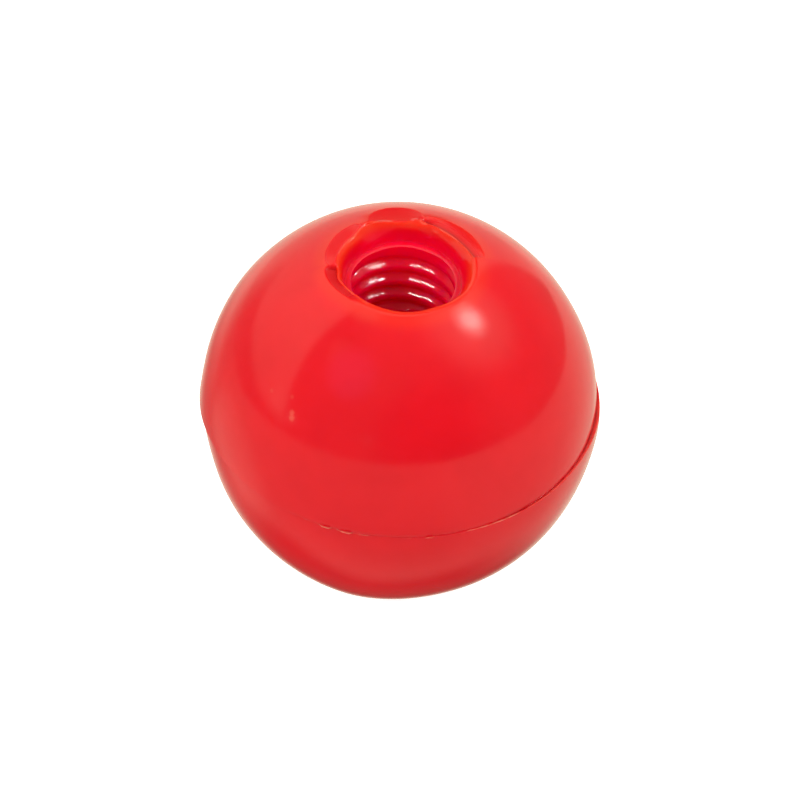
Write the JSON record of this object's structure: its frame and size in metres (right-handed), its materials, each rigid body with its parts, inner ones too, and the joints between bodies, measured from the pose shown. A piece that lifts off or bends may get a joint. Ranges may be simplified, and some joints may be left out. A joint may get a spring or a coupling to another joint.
{
  "type": "lever knob",
  "caption": "Moulded plastic ball knob with a recessed blind threaded hole, for the end of a lever or control rod.",
  "frame": {"origin": "centre of the ball, on the axis of the threaded hole", "axes": "+Z along the threaded hole, out of its mouth; +X is the side where the lower half stands proud of the upper half at the parting line"},
  "size_m": [0.0252, 0.025, 0.0244],
  "materials": {
    "red_plastic": "gloss moulded, with a fine orange peel"
  },
  "bodies": {
    "root": {"ball_knob": "red_plastic"}
  },
  "joints": []
}
